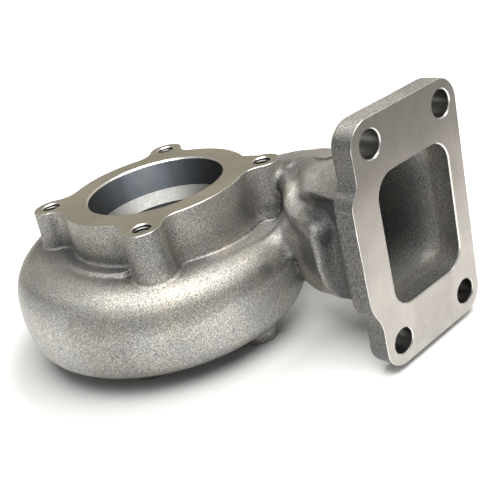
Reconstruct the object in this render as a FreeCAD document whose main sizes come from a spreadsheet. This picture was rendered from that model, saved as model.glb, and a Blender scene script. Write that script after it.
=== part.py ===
import FreeCAD, Part
import math
import os
import Sketcher

# Turbocharger turbine housing: one iron casting, machined on three faces.
# Frame: Z is the turbine axis, z = 0 on the centre-housing face, the outlet
# face looks up at z = body_height, the gas inlet face looks along +X.

V = FreeCAD.Vector
doc = FreeCAD.newDocument("TurbineHousing")
sheet = doc.addObject("Spreadsheet::Sheet", "Sizes")
sheet.Label = "Sizes"

rows = [
    ("body_height", 70.0, "centre-housing face to outlet face"),
    ("ring_radius", 44.8, "outlet neck between the lobes"),
    ("lobe_radius", 8.6, "outlet lobe about its hole"),
    ("outlet_hole_radius_out", 52.0, "outlet holes from the axis"),
    ("outlet_first_angle", 47.7, "first outlet hole, degrees from X"),
    ("lobe_fillet", 9.0, "fillet between lobe and ring"),
    ("outlet_neck_bottom", 30.0, "where the outlet neck ends inside the scroll"),
    ("outlet_hole_radius", 4.25, "tapped hole, minor radius"),
    ("outlet_hole_depth", 13.0, "tapped hole depth"),
    ("outlet_bore_radius", 33.1, "outlet bore"),
    ("outlet_bore_depth", 15.0, "cylindrical length of the outlet bore"),
    ("exducer_radius", 27.5, "turbine outlet bore"),
    ("exducer_top", 49.4, "foot of the 45 degree seat"),
    ("shroud_start", 38.0, "turbine contour begins to open"),
    ("wheel_radius", 38.5, "wheel well radius"),
    ("throat_bottom", 13.0, "volute slot, lower side"),
    ("throat_top", 22.0, "volute slot, upper side"),
    ("throat_outer", 47.0, "volute slot, outer radius"),
    ("pilot_radius", 44.5, "centre-housing pilot recess"),
    ("pilot_depth", 6.0, "pilot recess depth"),
    ("rim_chamfer", 1.2, "chamfer at the machined rims"),
    ("base_ring_radius", 53.0, "centre-housing flange ring"),
    ("base_ring_height", 11.0, "centre-housing flange ring height"),
    ("base_boss_radius", 9.0, "boss about a base hole"),
    ("base_boss_height", 11.6, "boss height"),
    ("base_hole_radius_out", 51.5, "base holes from the axis"),
    ("base_first_angle", 0.0, "first base hole, degrees from X"),
    ("base_hole_radius", 3.4, "tapped base hole, minor radius"),
    ("base_hole_depth", 10.0, "tapped base hole depth"),
    ("inlet_face", 128.6, "inlet face from the axis along X"),
    ("plate_thickness", 10.0, "inlet plate"),
    ("inlet_centre_across", 33.6, "inlet centre along Y"),
    ("inlet_centre_height", 54.8, "inlet centre above the base"),
    ("inlet_spacing_across", 42.0, "inlet hole spacing along Y"),
    ("inlet_spacing_up", 83.0, "inlet hole spacing along Z"),
    ("inlet_hole_radius", 5.45, "inlet clearance hole"),
    ("port_width", 42.6, "port along Y"),
    ("port_height", 55.8, "port along Z"),
    ("wall", 5.5, "casting wall"),
]
for i, (name, value, note) in enumerate(rows, start=1):
    sheet.set("A%d" % i, note)
    sheet.set("B%d" % i, str(value))
    sheet.setAlias("B%d" % i, name)
doc.recompute()
S = {name: float(sheet.get(name)) for name, value, note in rows}


def bind(obj, prop, expr):
    obj.setExpression(prop, expr)


def lerp(table, t):
    if t <= table[0][0]:
        return table[0][1]
    for (a, va), (b, vb) in zip(table, table[1:]):
        if t <= b:
            k = (t - a) / (b - a)
            return va + (vb - va) * k
    return table[-1][1]


# ---------------------------------------------------------------- sections
# Scroll sections by the angle t travelled from the +Y side, counter-clockwise
# seen from the outlet: outer radius, top, bottom, widest height, half width.
SCROLL = {
    "Ro": [(0, 84.0), (40, 83.2), (70, 82.2), (100, 81.0), (130, 79.8), (160, 79.0),
           (190, 77.6), (220, 75.0), (250, 71.2), (280, 66.4), (310, 61.0), (322, 58.6)],
    "zt": [(0, 57.0), (70, 55.4), (130, 52.6), (190, 50.0), (250, 46.8), (322, 43.0)],
    "zb": [(0, 4.6), (130, 4.2), (190, 5.0), (250, 5.4), (322, 7.6)],
    "zm": [(0, 30.5), (70, 28.4), (130, 25.8), (190, 23.6), (250, 22.4), (322, 21.5)],
    "w": [(0, 28.0), (70, 26.5), (130, 25.0), (190, 23.0), (250, 20.5), (322, 15.0)],
}


def superpoint(hy, up, down, n, a):
    c, s = math.cos(a), math.sin(a)
    e = 2.0 / n
    return (hy * math.copysign(abs(c) ** e, c),
            (up if s > 0 else down) * math.copysign(abs(s) ** e, s))


def closed_wire(points):
    curve = Part.BSplineCurve()
    n = len(points)
    curve.interpolate(Points=points, PeriodicFlag=True, Parameters=[k / float(n) for k in range(n + 1)])
    return Part.Wire([curve.toShape()])


N = 24
ANG = [2 * math.pi * k / N for k in range(N)]


def scroll_section(t):
    q = {k: lerp(v, t) for k, v in SCROLL.items()}
    az = math.radians(90.0 + t)
    rc = q["Ro"] - q["w"]
    pts = []
    for a in ANG:
        u, z = superpoint(q["w"], q["zt"] - q["zm"], q["zm"] - q["zb"], 2.9, a)
        r = rc + u
        pts.append(V(r * math.cos(az), r * math.sin(az), q["zm"] + z))
    return closed_wire(pts)


def passage_section(t):
    ro = lerp(SCROLL["Ro"], t) - S["wall"]
    ri = S["wheel_radius"] + 0.5
    top = lerp([(0, 51.3), (130, 46.0), (250, 36.0), (322, 28.0)], t)
    bot = S["throat_bottom"] - 0.6
    hy, cz, hz = (ro - ri) / 2, (top + bot) / 2, (top - bot) / 2
    az = math.radians(90.0 + t)
    pts = []
    for a in ANG:
        u, z = superpoint(hy, hz, hz, 2.6, a)
        r = (ro + ri) / 2 + u
        pts.append(V(r * math.cos(az), r * math.sin(az), cz + z))
    return closed_wire(pts)


def neck_section(x, yc, zc, hy, up, down, n):
    return closed_wire([V(x, yc + superpoint(hy, up, down, n, a)[0],
                          zc + superpoint(hy, up, down, n, a)[1]) for a in ANG])


def section_feature(name, wire):
    f = doc.addObject("Part::Feature", name)
    f.Label = name
    f.Shape = wire
    return f


def loft(name, sections):
    o = doc.addObject("Part::Loft", name)
    o.Label = name
    o.Sections = sections
    o.Solid = True
    o.Ruled = False
    o.Closed = False
    return o


# neck outside by x: near side y, far side y, bottom z, top z, squareness
NECK_OUT = [
    (118.8, 7.8, 59.8, 22.5, 87.6, 4.2),
    (105.0, 8.4, 61.6, 22.2, 85.4, 4.0),
    (92.0, 9.6, 64.5, 20.8, 81.4, 3.9),
    (80.0, 14.6, 68.4, 18.0, 77.0, 3.8),
    (68.0, 25.4, 72.4, 14.4, 73.2, 3.6),
    (54.0, 38.0, 76.6, 11.0, 69.4, 3.2),
    (40.0, 39.5, 80.0, 9.0, 66.2, 3.0),
    (25.0, 35.0, 82.4, 6.6, 62.4, 2.95),
    (12.0, 31.0, 83.7, 5.2, 59.4, 2.9),
]
# gas passage in the neck, the same way
PY, PZ, PW, PH = S["inlet_centre_across"] + 0.1, S["inlet_centre_height"] + 0.1, S["port_width"] / 2, S["port_height"] / 2
NECK_IN = [
    (129.6, PY - PW, PY + PW, PZ - PH, PZ + PH, 5.8),
    (121.0, PY - PW, PY + PW, PZ - PH, PZ + PH, 5.8),
    (112.0, PY - PW, PY + PW, PZ - PH, PZ + PH - 0.4, 5.2),
    (100.0, 13.6, 57.2, 26.8, 79.6, 4.4),
    (88.0, 18.4, 60.8, 26.0, 75.0, 3.8),
    (76.0, 27.0, 64.4, 23.6, 70.8, 3.4),
    (64.0, 36.6, 68.2, 20.4, 67.0, 3.1),
    (50.0, 44.4, 72.4, 16.8, 63.0, 2.9),
    (38.0, 44.6, 75.0, 14.4, 59.2, 2.8),
    (25.0, 41.4, 76.9, 13.0, 55.8, 2.7),
    (12.0, 39.6, 78.1, 12.5, 53.2, 2.6),
]


def box_section(x, near, far, low, high, n):
    return neck_section(x, (near + far) / 2, (low + high) / 2, (far - near) / 2, (high - low) / 2, (high - low) / 2, n)


first = [section_feature("NeckOut%d" % i, box_section(*row)) for i, row in enumerate(NECK_OUT)]
first += [section_feature("ScrollOut%03d" % t, scroll_section(t)) for t in range(0, 181, 20)]
last = [section_feature("ScrollEnd%03d" % t, scroll_section(t)) for t in (180, 200, 220, 240, 260, 280, 300, 322)]
p_first = [section_feature("NeckIn%d" % i, box_section(*row)) for i, row in enumerate(NECK_IN)]
p_first += [section_feature("PassageIn%03d" % t, passage_section(t)) for t in range(0, 181, 20)]
p_last = [section_feature("PassageEnd%03d" % t, passage_section(t)) for t in (180, 200, 220, 240, 260, 280, 300, 322)]
scroll_a = loft("ScrollNeckBody", first)
scroll_b = loft("ScrollTailBody", last)
passage_a = loft("PassageNeck", p_first)
passage_b = loft("PassageTail", p_last)
doc.recompute()


# ------------------------------------------------------------ sketch helper
def sketch_in(body, name, placement):
    sk = body.newObject("Sketcher::SketchObject", name)
    sk.Label = name
    sk.Placement = placement
    return sk


def add_chain(sk, items):
    """items: ('line', p, q) or ('arc', centre, radius, start angle, end angle, reversed, alias)."""
    ids = []
    ends = []
    for it in items:
        if it[0] == "line":
            i = sk.addGeometry(Part.LineSegment(V(it[1][0], it[1][1], 0), V(it[2][0], it[2][1], 0)), False)
            ends.append((i, 1, 2))
        else:
            c, r, a0, a1, rev, alias = it[1:]
            i = sk.addGeometry(Part.ArcOfCircle(Part.Circle(V(c[0], c[1], 0), V(0, 0, 1), r), a0, a1), False)
            ends.append((i, 2, 1) if rev else (i, 1, 2))
            if alias:
                k = sk.addConstraint(Sketcher.Constraint("Radius", i, r))
                sk.setExpression("Constraints[%d]" % k, "Sizes." + alias)
        ids.append(i)
    n = len(ends)
    for j in range(n):
        a, b = ends[j], ends[(j + 1) % n]
        sk.addConstraint(Sketcher.Constraint("Coincident", a[0], a[2], b[0], b[1]))
    return ids


def pad(body, sk, name, length_expr, reverse=False):
    p = body.newObject("PartDesign::Pad", name)
    p.Label = name
    p.Profile = sk
    p.Reversed = reverse
    p.setExpression("Length", length_expr)
    sk.Visibility = False
    return p


# ------------------------------------------------------------- outlet neck
R1, r, D = S["ring_radius"], S["lobe_radius"], S["outlet_hole_radius_out"]
rf = S["lobe_fillet"]
cosd = ((R1 + rf) ** 2 + D ** 2 - (r + rf) ** 2) / (2 * (R1 + rf) * D)
delta = math.acos(cosd)
chain = []
for k in range(4):
    th = math.radians(S["outlet_first_angle"] + 90 * k)
    lobe = (D * math.cos(th), D * math.sin(th))
    fa = th - delta
    fb = th + delta
    ca = ((R1 + rf) * math.cos(fa), (R1 + rf) * math.sin(fa))
    cb = ((R1 + rf) * math.cos(fb), (R1 + rf) * math.sin(fb))
    # fillet before the lobe, lobe, fillet after it, ring arc to the next one
    a_in = math.atan2(-ca[1], -ca[0])
    a_lobe = math.atan2(lobe[1] - ca[1], lobe[0] - ca[0])
    chain.append(("arc", ca, rf, a_lobe, a_lobe + ((a_in - a_lobe) % (2 * math.pi)), True, "lobe_fillet"))
    s0 = math.atan2(ca[1] - lobe[1], ca[0] - lobe[0])
    s1 = math.atan2(cb[1] - lobe[1], cb[0] - lobe[0])
    chain.append(("arc", lobe, r, s0, s0 + ((s1 - s0) % (2 * math.pi)), False, "lobe_radius"))
    b_lobe = math.atan2(lobe[1] - cb[1], lobe[0] - cb[0])
    b_in = math.atan2(-cb[1], -cb[0])
    chain.append(("arc", cb, rf, b_in, b_in + ((b_lobe - b_in) % (2 * math.pi)), True, "lobe_fillet"))
    nxt = th + math.pi / 2 - delta
    chain.append(("arc", (0.0, 0.0), R1, fb, nxt, False, "ring_radius"))
outlet = doc.addObject("PartDesign::Body", "OutletNeck")
outlet.Label = "OutletNeck"
sk = sketch_in(outlet, "OutletOutline", FreeCAD.Placement(V(0, 0, S["outlet_neck_bottom"]), FreeCAD.Rotation()))
sk.setExpression("Placement.Base.z", "Sizes.outlet_neck_bottom")
add_chain(sk, chain)
pad(outlet, sk, "OutletPad", "Sizes.body_height - Sizes.outlet_neck_bottom")

# ------------------------------------------------------------- inlet plate
plate = doc.addObject("PartDesign::Body", "InletPlate")
plate.Label = "InletPlate"
# sketch x runs along Y, sketch y along Z, normal along X
yz = FreeCAD.Rotation(V(0, 1, 0), V(0, 0, 1), V(1, 0, 0), "ZXY")
pl = FreeCAD.Placement(V(S["inlet_face"] - S["plate_thickness"], 0, 0), yz)
sk = sketch_in(plate, "PlateOutline", pl)
sk.setExpression("Placement.Base.x", "Sizes.inlet_face - Sizes.plate_thickness")
q = math.pi / 2
add_chain(sk, [
    ("arc", (54.2, 96.0), 10.0, 0, q, False, None),
    ("line", (54.2, 106.0), (12.2, 106.0)),
    ("arc", (12.2, 96.0), 10.0, q, 2 * q, False, None),
    ("line", (2.2, 96.0), (2.2, 84.5)),
    ("line", (2.2, 84.5), (-2.3, 78.0)),
    ("line", (-2.3, 78.0), (-2.3, 34.5)),
    ("line", (-2.3, 34.5), (2.4, 26.5)),
    ("line", (2.4, 26.5), (2.4, 13.0)),
    ("arc", (12.4, 13.0), 10.0, 2 * q, 3 * q, False, None),
    ("line", (12.4, 3.0), (54.2, 3.0)),
    ("arc", (54.2, 13.0), 10.0, 3 * q, 4 * q, False, None),
    ("line", (64.2, 13.0), (64.2, 96.0)),
])
pad(plate, sk, "PlatePad", "Sizes.plate_thickness")

# --------------------------------------------------- bore, wheel well, slot
bore = doc.addObject("PartDesign::Body", "BoreCut")
bore.Label = "BoreCut"
xz = FreeCAD.Rotation(V(1, 0, 0), V(0, 0, 1), V(0, -1, 0), "ZXY")
sk = sketch_in(bore, "BoreProfile", FreeCAD.Placement(V(0, 0, 0), xz))
H, ch = S["body_height"], S["rim_chamfer"]
ro, rx, rw, rp = S["outlet_bore_radius"], S["exducer_radius"], S["wheel_radius"], S["pilot_radius"]
zs = S["exducer_top"]
prof = [(0, -1), (rp + ch, -1), (rp + ch, 0), (rp, ch), (rp, S["pilot_depth"]), (rw, S["pilot_depth"]),
        (rw, S["throat_bottom"]), (S["throat_outer"], S["throat_bottom"]),
        (S["throat_outer"], S["throat_top"]), (rw, S["throat_top"]),
        (rw - 3.0, 24.6), (rw - 7.4, 30.6), (rx, S["shroud_start"]), (rx, zs),
        (ro, H - S["outlet_bore_depth"]), (ro, H - ch), (ro + ch, H), (ro + ch, H + 1), (0, H + 1)]
add_chain(sk, [("line", prof[i], prof[(i + 1) % len(prof)]) for i in range(len(prof))])
rev = bore.newObject("PartDesign::Revolution", "BoreTurn")
rev.Label = "BoreTurn"
rev.Profile = sk
rev.ReferenceAxis = (sk, ["V_Axis"])
rev.Angle = 360.0
sk.Visibility = False


# --------------------------------------------------------- round features
def cylinder(name, r_expr, h_expr, x, y, z, z_expr=None, along_x=False):
    c = doc.addObject("Part::Cylinder", name)
    c.Label = name
    bind(c, "Radius", r_expr)
    bind(c, "Height", h_expr)
    rot = FreeCAD.Rotation(V(0, 1, 0), 90) if along_x else FreeCAD.Rotation()
    c.Placement = FreeCAD.Placement(V(x, y, z), rot)
    if z_expr:
        bind(c, "Placement.Base.x" if along_x else "Placement.Base.z", z_expr)
    return c


def cone(name, r0, r1, h, pos, rot):
    c = doc.addObject("Part::Cone", name)
    c.Label = name
    bind(c, "Radius1", r0)
    bind(c, "Radius2", r1)
    bind(c, "Height", h)
    c.Placement = FreeCAD.Placement(pos, rot)
    return c


adds = [scroll_a, scroll_b, outlet, plate]
cuts = []
adds.append(cylinder("BaseRing", "Sizes.base_ring_radius", "Sizes.base_ring_height", 0, 0, 0))
for k in range(6):
    th = math.radians(S["base_first_angle"] + 60 * k)
    d = S["base_hole_radius_out"]
    x, y = d * math.cos(th), d * math.sin(th)
    adds.append(cylinder("BaseBoss%d" % (k + 1), "Sizes.base_boss_radius", "Sizes.base_boss_height", x, y, 0))
    cuts.append(cylinder("BaseHole%d" % (k + 1), "Sizes.base_hole_radius", "Sizes.base_hole_depth + 1", x, y, -1))
for k in range(4):
    th = math.radians(S["outlet_first_angle"] + 90 * k)
    x, y = D * math.cos(th), D * math.sin(th)
    cuts.append(cylinder("OutletHole%d" % (k + 1), "Sizes.outlet_hole_radius", "Sizes.outlet_hole_depth + 1", x, y, 0,
                         "Sizes.body_height - Sizes.outlet_hole_depth"))
    cuts.append(cone("OutletHoleRim%d" % (k + 1), "Sizes.outlet_hole_radius", "Sizes.outlet_hole_radius + 0.9", "0.9",
                     V(x, y, H - 0.9), FreeCAD.Rotation()))
F = S["inlet_face"]
for k, (sy, sz) in enumerate(((-1, -1), (1, -1), (1, 1), (-1, 1))):
    y = S["inlet_centre_across"] + sy * S["inlet_spacing_across"] / 2
    z = S["inlet_centre_height"] + sz * S["inlet_spacing_up"] / 2
    rx_ = FreeCAD.Rotation(V(0, 1, 0), 90)
    cuts.append(cylinder("InletHole%d" % (k + 1), "Sizes.inlet_hole_radius", "Sizes.plate_thickness + 16",
                         0, y, z, "Sizes.inlet_face - Sizes.plate_thickness - 15", True))
    cuts.append(cone("InletHoleRim%d" % (k + 1), "Sizes.inlet_hole_radius", "Sizes.inlet_hole_radius + 0.8", "0.8",
                     V(F - 0.8, y, z), rx_))
doc.recompute()


def group(name, items):
    c = doc.addObject("Part::Compound", name)
    c.Label = name
    c.Links = items
    return c


def cut(name, base, tool):
    c = doc.addObject("Part::Cut", name)
    c.Label = name
    c.Base = base
    c.Tool = tool
    c.Refine = False
    doc.recompute()
    return c


def fuse(name, base, tool):
    c = doc.addObject("Part::Fuse", name)
    c.Label = name
    c.Base = base
    c.Tool = tool
    c.Refine = False
    doc.recompute()
    return c


base = doc.addObject("Part::MultiFuse", "BaseFlange")
base.Label = "BaseFlange"
base.Shapes = adds[4:]
doc.recompute()
step = fuse("JoinTail", scroll_a, scroll_b)
step = fuse("JoinOutletNeck", step, outlet)
step = fuse("JoinPlate", step, plate)
step = fuse("JoinBase", step, base)
way = fuse("GasPassage", passage_a, passage_b)
step = cut("CutPassage", step, way)
step = cut("CutBore", step, bore)
step = cut("CutHoles", step, group("Holes", [c for c in cuts if c.TypeId == "Part::Cylinder"]))
housing = cut("TurbineHousing", step, group("HoleRims", [c for c in cuts if c.TypeId == "Part::Cone"]))
housing.Label = "turbine_housing"
doc.recompute()

# --------------------------------------------------------------- checking
bad = []
for o in doc.Objects:
    if "Invalid" in o.State or "Error" in o.State:
        bad.append("%s state %s" % (o.Label, o.State))
    if hasattr(o, "Shape") and o.TypeId != "Spreadsheet::Sheet":
        if o.TypeId in ("App::Origin", "App::Line", "App::Plane", "App::Point"):
            continue
        if o.Shape.isNull() or not o.Shape.isValid():
            bad.append("%s shape" % o.Label)
for o in doc.Objects:
    if o.TypeId in ("Part::Fuse", "Part::Cut", "Part::Loft"):
        print("%-16s solids %d volume %.1f cm3" % (o.Label, len(o.Shape.Solids), o.Shape.Volume / 1000.0))
shape = housing.Shape
if bad:
    raise RuntimeError("; ".join(bad))
if len(shape.Solids) != 1:
    bad.append("solids %d" % len(shape.Solids))
bb = shape.BoundBox
print("box %.2f %.2f %.2f .. %.2f %.2f %.2f" % (bb.XMin, bb.YMin, bb.ZMin, bb.XMax, bb.YMax, bb.ZMax))
print("solids %d faces %d volume %.1f cm3" % (len(shape.Solids), len(shape.Faces), shape.Volume / 1000.0))
if bad:
    raise RuntimeError("; ".join(bad))
os.makedirs("parts", exist_ok=True)
shape.exportStep("parts/turbine_housing.step")
print("written")
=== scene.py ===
import math
import bpy
import numpy as np
from mathutils import Matrix, Vector


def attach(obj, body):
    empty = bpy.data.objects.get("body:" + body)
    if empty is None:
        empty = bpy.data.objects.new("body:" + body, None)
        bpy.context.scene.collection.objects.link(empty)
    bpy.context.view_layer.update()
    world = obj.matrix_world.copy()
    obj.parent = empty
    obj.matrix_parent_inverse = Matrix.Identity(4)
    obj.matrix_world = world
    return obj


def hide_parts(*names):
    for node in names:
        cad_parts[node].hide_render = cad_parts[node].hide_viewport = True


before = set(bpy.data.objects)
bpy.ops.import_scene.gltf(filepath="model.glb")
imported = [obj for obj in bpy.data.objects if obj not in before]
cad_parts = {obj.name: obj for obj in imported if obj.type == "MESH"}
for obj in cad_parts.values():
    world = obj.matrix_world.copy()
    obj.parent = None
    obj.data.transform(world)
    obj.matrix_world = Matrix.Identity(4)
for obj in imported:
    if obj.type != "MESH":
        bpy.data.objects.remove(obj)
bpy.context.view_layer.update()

MM = 0.001
CELL = 1.0          # grid pitch of the casting's skin, mm
BUDGET = 172000   # triangles left in the skin

# ---------------------------------------------------------------- dimensions
# Millimetres. +Z is the turbine axis, z = 0 the centre-housing face.
BODY_Z = 70.0
RING_R = 44.8
LOBE_R = 8.6
LOBE_AT = 52.0
LOBE_A0 = 47.7
LOBE_FILLET = 9.0
INLET_X = 128.6
PLATE_T = 10.0
PORT_C = (33.7, 54.9)
PORT_W = 42.6
PORT_H = 55.8
PORT_R = 9.5
WALL = 5.5
T_END = 322.0

RO = [(0, 84), (40, 83.2), (70, 82.2), (100, 81), (130, 79.8), (160, 79), (190, 77.6), (220, 75), (250, 71.2), (280, 66.8), (310, 62.4), (322, 60.4)]
ZT = [(0, 57), (70, 55.4), (130, 52.6), (190, 50), (250, 46.8), (322, 43)]
ZB = [(0, 4.6), (130, 4.2), (190, 5), (250, 5.2), (322, 6.0)]
ZM = [(0, 30.5), (70, 28.4), (130, 25.8), (190, 23.6), (250, 22.4), (322, 21.5)]
WR = [(0, 28), (70, 26.5), (130, 25), (190, 23), (250, 20.5), (322, 15)]
PT = [(0, 51.3), (130, 46), (250, 36), (322, 28)]

# x, near side y, far side y, bottom z, top z, squareness
NECK_OUT = [(118.8, 7.8, 59.8, 22.5, 87.6, 4.2), (105, 8.4, 61.6, 22.2, 85.4, 4.0), (92, 9.6, 64.5, 20.8, 81.4, 3.9),
            (80, 14.6, 68.4, 18, 76.6, 3.8), (68, 25.4, 72.4, 14.4, 72.0, 3.6), (54, 38, 76.6, 11, 67.6, 3.2),
            (40, 39.5, 80, 9, 65.0, 3.0), (25, 35, 82.4, 6.6, 62.4, 2.95), (12, 31, 83.7, 5.2, 59.4, 2.9), (0, 28, 84, 4.6, 57, 2.9)]
NECK_IN = [(129.6, 12.4, 55.0, 27.0, 82.8, 5.8), (121, 12.4, 55.0, 27.0, 82.8, 5.8), (112, 16.2, 55, 27, 81, 4.0),
           (100, 19.6, 57.2, 26.8, 77.5, 3.2), (88, 23, 60.8, 26, 73.5, 3.0), (76, 29, 64.4, 23.6, 69.6, 2.7),
           (64, 36.6, 68.2, 20.4, 65.6, 2.4), (50, 44.4, 72.4, 16.8, 63, 2.9), (38, 44.6, 75, 14.4, 59.2, 2.8),
           (25, 41.4, 76.9, 13, 55.8, 2.7), (12, 39.6, 78.1, 12.5, 53.2, 2.6), (0, 39, 78.5, 12.4, 51.3, 2.6)]

BORE = [(0, -3), (45.7, -3), (45.7, 0), (44.5, 1.2), (44.5, 6), (38.5, 6), (38.5, 13), (47, 13), (47, 22), (38.5, 22), (35.5, 24.6),
        (31.1, 30.6), (27.5, 38), (27.5, 49.4), (33.1, 55), (33.1, 69.25), (33.85, 70), (33.85, 73), (0, 73)]


def curve(pairs):
    """A smooth curve through the pairs, as a function of arrays."""
    pairs = sorted(pairs)
    xs = np.array([p[0] for p in pairs], float)
    ys = np.array([p[1] for p in pairs], float)
    h = np.diff(xs)
    m = np.diff(ys) / h
    d = np.empty(len(xs))
    d[0], d[-1] = m[0], m[-1]
    d[1:-1] = (h[:-1] * m[1:] + h[1:] * m[:-1]) / (h[:-1] + h[1:])
    fine = np.linspace(xs[0], xs[-1], 900)
    i = np.clip(np.searchsorted(xs, fine, side="right") - 1, 0, len(h) - 1)
    s = (fine - xs[i]) / h[i]
    val = ((1 + 2 * s) * (1 - s) ** 2 * ys[i] + s * (1 - s) ** 2 * h[i] * d[i]
           + s * s * (3 - 2 * s) * ys[i + 1] + s * s * (s - 1) * h[i] * d[i + 1])
    return lambda q: np.interp(q, fine, val)


C_RO, C_ZT, C_ZB, C_ZM, C_WR, C_PT = (curve(c) for c in (RO, ZT, ZB, ZM, WR, PT))
C_NO = [curve([(s[0], s[k]) for s in NECK_OUT]) for k in range(1, 6)]
C_NI = [curve([(s[0], s[k]) for s in NECK_IN]) for k in range(1, 6)]


def smooth(a, b, x):
    s = np.clip((x - a) / (b - a), 0.0, 1.0)
    return s * s * (3 - 2 * s)


def smin(a, b, k):
    k = np.maximum(k, 1e-3)
    h = np.maximum(k - np.abs(a - b), 0.0) / k
    return np.minimum(a, b) - h * h * k * 0.25


def fillet(a, b, r):
    """Union with a concave fillet of radius r."""
    ua = np.maximum(r - a, 0.0)
    ub = np.maximum(r - b, 0.0)
    return np.maximum(r, np.minimum(a, b)) - np.sqrt(ua * ua + ub * ub)


def rounded(a, b, r):
    """Intersection with a rounded edge of radius r."""
    return -fillet(-a, -b, r)


def oval(u, v, w, h, n):
    au = np.maximum(np.abs(u), 1e-3)
    av = np.maximum(np.abs(v), 1e-3)
    g = ((au / w) ** n + (av / h) ** n) ** (1.0 / n)
    return np.hypot(au, av) * (1.0 - 1.0 / g)


def outlet_2d(x, y):
    a = (np.degrees(np.arctan2(y, x)) - LOBE_A0 + 45.0) % 90.0 - 45.0
    r = np.hypot(x, y)
    a = np.radians(np.abs(a))
    px, py = r * np.cos(a), r * np.sin(a)
    c = ((RING_R + LOBE_FILLET) ** 2 + LOBE_AT ** 2 - (LOBE_R + LOBE_FILLET) ** 2) / (2 * (RING_R + LOBE_FILLET) * LOBE_AT)
    fa = math.acos(c)
    fx, fy = (RING_R + LOBE_FILLET) * math.cos(fa), (RING_R + LOBE_FILLET) * math.sin(fa)
    d = np.minimum(r - RING_R, np.hypot(px - LOBE_AT, py) - LOBE_R)
    # q = s * (axis - centre) + t * (lobe - centre), the wedge is s, t >= 0
    ax, ay = -fx, -fy
    bx, by = LOBE_AT - fx, -fy
    det = ax * by - ay * bx
    qx, qy = px - fx, py - fy
    s = (qx * by - qy * bx) / det
    t = (ax * qy - ay * qx) / det
    return np.where((s >= 0) & (t >= 0), LOBE_FILLET - np.hypot(qx, qy), d)


def arc(cx, cy, r, a0, a1, n):
    return [(cx + r * math.cos(math.radians(a0 + (a1 - a0) * i / n)), cy + r * math.sin(math.radians(a0 + (a1 - a0) * i / n))) for i in range(n + 1)]


def plate_outline(n=10):
    """The inlet plate's outline in Y and Z, anticlockwise seen with y to the right and z up."""
    pts = arc(54.2, 13, 10, -90, 0, n) + arc(54.2, 96, 10, 0, 90, n) + arc(12.2, 96, 10, 90, 180, n)
    # the step on the near side is a soft curve in and a shorter one out
    for y, z in ((2.2, 88.0), (2.15, 85.6), (1.7, 83.6), (0.7, 81.9), (-0.6, 80.3), (-1.7, 78.6), (-2.2, 76.8), (-2.3, 75.0)):
        pts.append((y, z))
    for y, z in ((-2.3, 38.5), (-2.2, 36.4), (-1.7, 34.2), (-0.6, 31.6), (0.7, 29.3), (1.8, 27.0), (2.3, 25.0), (2.4, 23.0)):
        pts.append((y, z))
    pts += arc(12.4, 13, 10, 180, 270, n)
    return np.array(pts)


PLATE = plate_outline()


def poly_2d(u, v, pts):
    """Signed distance to a closed polygon."""
    a = pts
    b = np.roll(pts, -1, axis=0)
    best = np.full(u.shape, 1e9)
    inside = np.zeros(u.shape, bool)
    for (ax, ay), (bx, by) in zip(a, b):
        ex, ey = bx - ax, by - ay
        wx, wy = u - ax, v - ay
        s = np.clip((wx * ex + wy * ey) / (ex * ex + ey * ey), 0, 1)
        dd = (wx - ex * s) ** 2 + (wy - ey * s) ** 2
        best = np.minimum(best, dd)
        if ay != by:
            hit = ((ay > v) != (by > v)) & (u < (bx - ax) * (v - ay) / (by - ay) + ax)
            inside ^= hit
    return np.where(inside, -1, 1) * np.sqrt(best)


def rbox(u, v, w, h, r):
    qx, qy = np.abs(u) - w + r, np.abs(v) - h + r
    return np.hypot(np.maximum(qx, 0), np.maximum(qy, 0)) + np.minimum(np.maximum(qx, qy), 0) - r


def scroll_tube(x, y, z):
    r = np.hypot(x, y)
    t = (np.degrees(np.arctan2(y, x)) - 90.0) % 360.0
    t = np.where(t > 341, t - 360, t)
    tc = np.clip(t, 0, T_END)
    ro, w, zm = C_RO(tc), C_WR(tc), C_ZM(tc)
    u = r - (ro - w)
    v = z - zm
    h = np.where(v > 0, C_ZT(tc) - zm, zm - C_ZB(tc))
    d = oval(np.maximum(u, 0), v, w, h, 2.9)
    return np.maximum(np.maximum(d, r * np.radians(t - T_END)), -r * np.radians(t + 12))


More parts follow.
